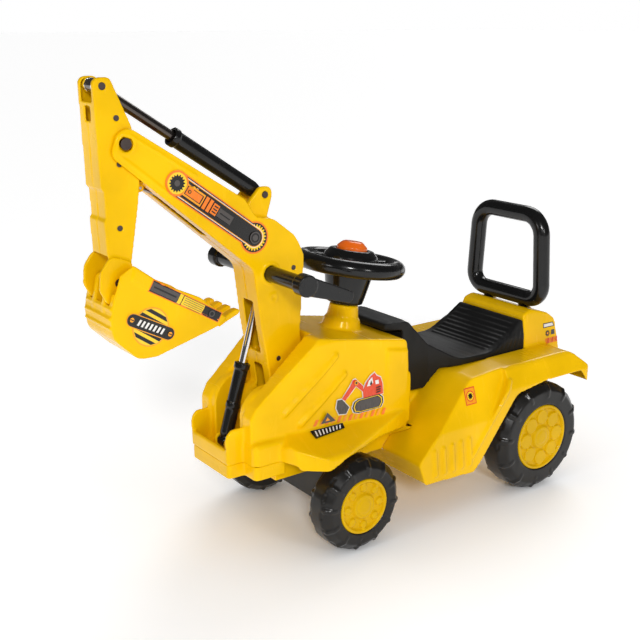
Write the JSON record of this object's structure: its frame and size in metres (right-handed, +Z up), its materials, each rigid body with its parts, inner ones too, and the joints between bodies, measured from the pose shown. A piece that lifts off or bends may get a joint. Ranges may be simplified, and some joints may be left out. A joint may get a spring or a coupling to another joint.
{
  "type": "ride-on toy excavator",
  "caption": "Ride-on toy digger: moulded yellow body on wheels, steering wheel with horn button, saddle with backrest hoop, and a swinging boom, stick and bucket worked by hand levers.",
  "frame": {"origin": "on the ground, under the middle of the toy's overall length and width", "axes": "+X is the toy's left side, +Y points to its rear, +Z is up"},
  "size_m": [0.34, 0.8941, 0.744],
  "materials": {
    "shell_yellow": "glossy warm yellow moulded polypropylene",
    "rim_yellow": "satin mustard yellow plastic",
    "tyre_black": "semi-gloss black blow-moulded plastic tyre",
    "black_gloss": "glossy black plastic",
    "black_matte": "matt black plastic",
    "horn_orange": "glossy orange plastic",
    "bright_chrome": "bright plated tube",
    "zinc_steel": "dull zinc-plated steel"
  },
  "bodies": {
    "chassis": {"chassis_base": "shell_yellow", "front_hood": "shell_yellow", "rear_body": "shell_yellow", "base_screws": "zinc_steel", "storage_bin": "black_matte", "backrest_frame": "black_gloss", "backrest_screws": "zinc_steel", "boom_pivot_pin": "black_matte", "lower_ram_pin": "zinc_steel", "steering_bush": "black_matte", "rear_axle_rod": "zinc_steel", "rear_push_nuts": "zinc_steel"},
    "seat": {"seat_lid": "black_gloss"},
    "steering": {"steering_wheel": "black_gloss", "steering_column": "zinc_steel", "steering_collar": "black_gloss", "horn_module": "black_gloss"},
    "horn": {"horn_button": "horn_orange"},
    "front_yoke": {"front_axle_beam": "black_matte", "kingpin": "black_matte", "front_axle_rod": "zinc_steel", "front_push_nuts": "zinc_steel"},
    "front_left_wheel": {"tyre_front_left": "tyre_black", "rim_front_left": "rim_yellow", "hub_cap_front_left": "rim_yellow"},
    "front_right_wheel": {"tyre_front_right": "tyre_black", "rim_front_right": "rim_yellow", "hub_cap_front_right": "rim_yellow"},
    "rear_left_wheel": {"tyre_rear_left": "tyre_black", "rim_rear_left": "rim_yellow", "hub_cap_rear_left": "rim_yellow"},
    "rear_right_wheel": {"tyre_rear_right": "tyre_black", "rim_rear_right": "rim_yellow", "hub_cap_rear_right": "rim_yellow"},
    "boom": {"boom_left_shell": "shell_yellow", "boom_right_shell": "shell_yellow", "boom_screws": "zinc_steel", "stick_pivot_pin": "zinc_steel", "upper_ram_pin": "zinc_steel", "lower_rod_pin": "zinc_steel"},
    "lever_bar": {"crossbar": "black_gloss", "left_lever": "black_gloss", "right_lever": "black_gloss", "lever_crank": "black_matte"},
    "stick": {"stick_left_shell": "shell_yellow", "stick_right_shell": "shell_yellow", "stick_screws": "zinc_steel", "stick_head_pin": "zinc_steel", "head_spacers": "bright_chrome", "bucket_pin": "zinc_steel", "pull_rod_pin": "zinc_steel"},
    "bucket": {"bucket": "shell_yellow"},
    "lower_barrel": {"lower_ram_barrel": "black_gloss"},
    "lower_rod": {"lower_ram_rod": "bright_chrome"},
    "upper_barrel": {"upper_ram_barrel": "black_gloss"},
    "upper_rod": {"upper_ram_rod": "bright_chrome"},
    "pull_link": {"pull_rod": "zinc_steel"}
  },
  "joints": [
    {"name": "seat_lift", "type": "slide", "parent": "chassis", "child": "seat", "axis": [0, 0, 1], "range_m": [0, 0.07]},
    {"name": "steering_turn", "type": "hinge", "parent": "chassis", "child": "steering", "pos_m": [0, -0.0083, 0.3164], "axis": [0, 0.1685, 0.9857], "range_deg": [-15, 15]},
    {"name": "horn_press", "type": "slide", "parent": "steering", "child": "horn", "axis": [0, -0.1685, -0.9857], "range_m": [0, 0.0025], "stiffness_N_per_m": 400},
    {"name": "yoke_turn", "type": "hinge", "parent": "chassis", "child": "front_yoke", "pos_m": [0, -0.035, 0.16], "axis": [0, 0, 1], "range_deg": [-15, 15]},
    {"name": "front_left_spin", "type": "hinge", "parent": "front_yoke", "child": "front_left_wheel", "pos_m": [0.1355, -0.082, 0.077], "axis": [1, 0, 0], "continuous": true},
    {"name": "front_right_spin", "type": "hinge", "parent": "front_yoke", "child": "front_right_wheel", "pos_m": [-0.1355, -0.082, 0.077], "axis": [1, 0, 0], "continuous": true},
    {"name": "rear_left_spin", "type": "hinge", "parent": "chassis", "child": "rear_left_wheel", "pos_m": [0.1375, 0.318, 0.099], "axis": [1, 0, 0], "continuous": true},
    {"name": "rear_right_spin", "type": "hinge", "parent": "chassis", "child": "rear_right_wheel", "pos_m": [-0.1375, 0.318, 0.099], "axis": [1, 0, 0], "continuous": true},
    {"name": "boom_swing", "type": "hinge", "parent": "chassis", "child": "boom", "pos_m": [0, -0.16, 0.22], "axis": [1, 0, 0], "range_deg": [0, 40]},
    {"name": "stick_swing", "type": "hinge", "parent": "boom", "child": "stick", "pos_m": [0, -0.3977, 0.6553], "axis": [-1, 0, 0], "range_deg": [0, 40]},
    {"name": "bucket_curl", "type": "hinge", "parent": "stick", "child": "bucket", "pos_m": [0, -0.418, 0.464], "axis": [1, 0, 0], "range_deg": [-50, 20]},
    {"name": "lower_barrel_tilt", "type": "hinge", "parent": "chassis", "child": "lower_barrel", "pos_m": [0, -0.238, 0.173], "axis": [1, 0, 0], "range_deg": [0, 32]},
    {"name": "lower_rod_tilt", "type": "hinge", "parent": "boom", "child": "lower_rod", "pos_m": [0, -0.17, 0.404], "axis": [1, 0, 0], "range_deg": [-11, 0]},
    {"name": "upper_barrel_tilt", "type": "hinge", "parent": "boom", "child": "upper_barrel", "pos_m": [0, -0.1687, 0.5631], "axis": [-1, 0, 0], "range_deg": [0, 9]},
    {"name": "upper_rod_tilt", "type": "hinge", "parent": "stick", "child": "upper_rod", "pos_m": [0, -0.4252, 0.7325], "axis": [-1, 0, 0], "range_deg": [-35, 0]},
    {"name": "lever_turn", "type": "hinge", "parent": "boom", "child": "lever_bar", "pos_m": [0, -0.1672, 0.4425], "axis": [1, 0, 0], "range_deg": [0, 53]},
    {"name": "pull_link_tilt", "type": "hinge", "parent": "stick", "child": "pull_link", "pos_m": [0, -0.368, 0.59], "axis": [1, 0, 0], "range_deg": [0, 44]}
  ],
  "couplings": [
    {"joint": "yoke_turn", "follows": "steering_turn", "ratio": 1},
    {"joint": "lower_barrel_tilt", "follows": "boom_swing", "ratio": 0.76692},
    {"joint": "lower_rod_tilt", "follows": "boom_swing", "ratio": -0.23308},
    {"joint": "upper_barrel_tilt", "follows": "stick_swing", "ratio": 0.17694},
    {"joint": "upper_rod_tilt", "follows": "stick_swing", "ratio": -0.82306},
    {"joint": "lever_turn", "follows": "stick_swing", "ratio": 1.2869},
    {"joint": "pull_link_tilt", "follows": "stick_swing", "ratio": 1.062}
  ]
}
